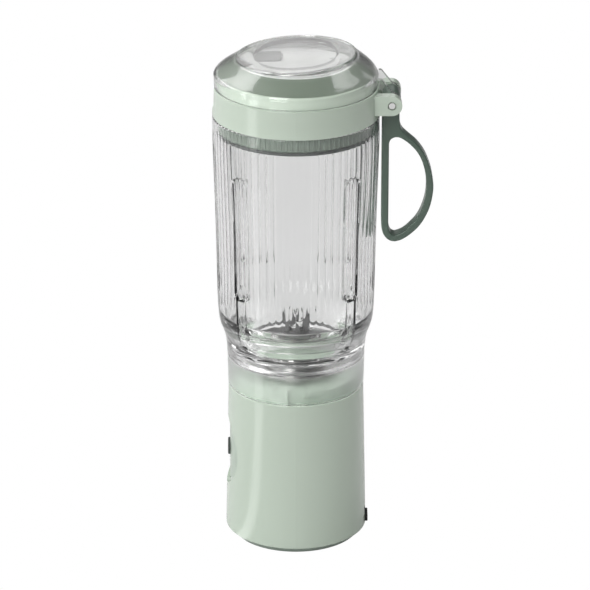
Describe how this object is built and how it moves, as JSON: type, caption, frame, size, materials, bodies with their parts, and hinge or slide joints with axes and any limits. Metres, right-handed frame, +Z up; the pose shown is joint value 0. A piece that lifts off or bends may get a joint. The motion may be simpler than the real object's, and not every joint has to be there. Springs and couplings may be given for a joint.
{
  "type": "portable blender",
  "caption": "Cordless portable blender: tapered power base with round control panel, clear fluted vessel with blade unit, screw lid, flip cap and carry loop.",
  "frame": {"origin": "on the body axis at the standing face, in the middle of the foot pad", "axes": "+Z up along the body, -Y to the front with the control panel, +Y to the lid hinge and carry loop"},
  "size_m": [0.087, 0.1153, 0.271],
  "materials": {
    "base_shell": "gloss sage green moulded plastic",
    "battery_cells": "shrink sleeve",
    "battery_tray": "matte",
    "blade_bearings": "sintered bronze",
    "blade_housing": "gloss grey plastic",
    "blade_nut": "polished stainless steel",
    "blade_seal": "matte",
    "blade_shaft": "ground",
    "bottom_cover": "satin moulded plastic",
    "carry_loop": "satin dark green plastic",
    "charge_board": "solder mask",
    "charge_port": "plated steel",
    "circuit_board": "solder mask",
    "clamp_nut": "turned stainless steel",
    "control_panel": "satin sage green plastic",
    "deck_screws": "zinc plated",
    "drive_coupling": "matte",
    "driven_coupling": "matte",
    "flip_cap": "clear copolyester",
    "foot_pad": "matte soft rubber",
    "hinge_pin": "polished",
    "housing_gasket": "silicone",
    "housing_screws": "zinc plated",
    "lid_cone": "gloss green plastic",
    "lid_gasket": "silicone",
    "lid_plug": "satin dark green plastic",
    "lid_ring": "gloss sage green moulded plastic",
    "lower_blade": "ground stainless steel",
    "motor_armature": "laminated steel and lacquered wire",
    "motor_bushes": "sintered bronze",
    "motor_can": "drawn steel",
    "motor_end_cap": "matte",
    "motor_magnets": "sintered ferrite",
    "motor_mount": "matte",
    "motor_screws": "zinc plated",
    "motor_shaft": "ground",
    "port_cover": "matte black rubber",
    "power_button": "soft dark silicone",
    "shaft_seal": "matte",
    "spout_deck": "satin pale plastic",
    "spout_stopper": "grey silicone",
    "status_light": "frosted light guide",
    "tact_switch": "matte",
    "top_deck": "gloss sage green moulded plastic",
    "upper_blade": "ground stainless steel",
    "vessel": "clear fluted copolyester",
    "vessel_collar": "clear copolyester"
  },
  "bodies": {
    "power_base": {"foot_pad": "foot_pad", "bottom_cover": "bottom_cover", "base_shell": "base_shell", "control_panel": "control_panel", "status_light": "status_light", "tact_switch": "tact_switch", "circuit_board": "circuit_board", "charge_port": "charge_port", "charge_board": "charge_board", "battery_tray": "battery_tray", "battery_cells": "battery_cells", "housing_screws": "housing_screws", "motor_can": "motor_can", "motor_magnets": "motor_magnets", "motor_end_cap": "motor_end_cap", "motor_bushes": "motor_bushes", "motor_mount": "motor_mount", "motor_screws": "motor_screws", "deck_screws": "deck_screws", "top_deck": "top_deck", "shaft_seal": "shaft_seal"},
    "motor_rotor": {"motor_armature": "motor_armature", "motor_shaft": "motor_shaft", "drive_coupling": "drive_coupling"},
    "button": {"power_button": "power_button"},
    "port_flap": {"port_cover": "port_cover"},
    "jar": {"vessel": "vessel", "vessel_collar": "vessel_collar", "blade_housing": "blade_housing", "blade_bearings": "blade_bearings", "housing_gasket": "housing_gasket", "clamp_nut": "clamp_nut", "blade_seal": "blade_seal"},
    "blade_rotor": {"driven_coupling": "driven_coupling", "blade_shaft": "blade_shaft", "lower_blade": "lower_blade", "upper_blade": "upper_blade", "blade_nut": "blade_nut"},
    "lid": {"lid_ring": "lid_ring", "lid_plug": "lid_plug", "lid_gasket": "lid_gasket", "lid_cone": "lid_cone", "spout_deck": "spout_deck", "hinge_pin": "hinge_pin"},
    "cap": {"flip_cap": "flip_cap", "spout_stopper": "spout_stopper"},
    "loop": {"carry_loop": "carry_loop"}
  },
  "joints": [
    {"name": "motor_spin", "type": "hinge", "parent": "power_base", "child": "motor_rotor", "pos_m": [0, 0, 0.06], "axis": [0, 0, 1], "continuous": true},
    {"name": "button_press", "type": "slide", "parent": "power_base", "child": "button", "axis": [0, 1, 0], "range_m": [0, 0.0009], "stiffness_N_per_m": 400, "springref_m": -0.001},
    {"name": "port_cover_hinge", "type": "hinge", "parent": "power_base", "child": "port_flap", "pos_m": [0, 0.0367, 0.013], "axis": [1, 0, 0], "range_deg": [0, 100]},
    {"name": "jar_lift", "type": "slide", "parent": "power_base", "child": "jar", "axis": [0, 0, 1], "range_m": [0, 0.03]},
    {"name": "blade_spin", "type": "hinge", "parent": "jar", "child": "blade_rotor", "pos_m": [0, 0, 0.105], "axis": [0, 0, 1], "continuous": true},
    {"name": "lid_lift", "type": "slide", "parent": "jar", "child": "lid", "axis": [0, 0, 1], "range_m": [0, 0.016]},
    {"name": "cap_hinge", "type": "hinge", "parent": "lid", "child": "cap", "pos_m": [0, 0.0495, 0.246], "axis": [-1, 0, 0], "range_deg": [0, 105]},
    {"name": "loop_pivot", "type": "hinge", "parent": "lid", "child": "loop", "pos_m": [0, 0.0495, 0.246], "axis": [-1, 0, 0], "range_deg": [-160, 0]}
  ],
  "couplings": [
    {"joint": "blade_spin", "follows": "motor_spin", "ratio": 1}
  ]
}
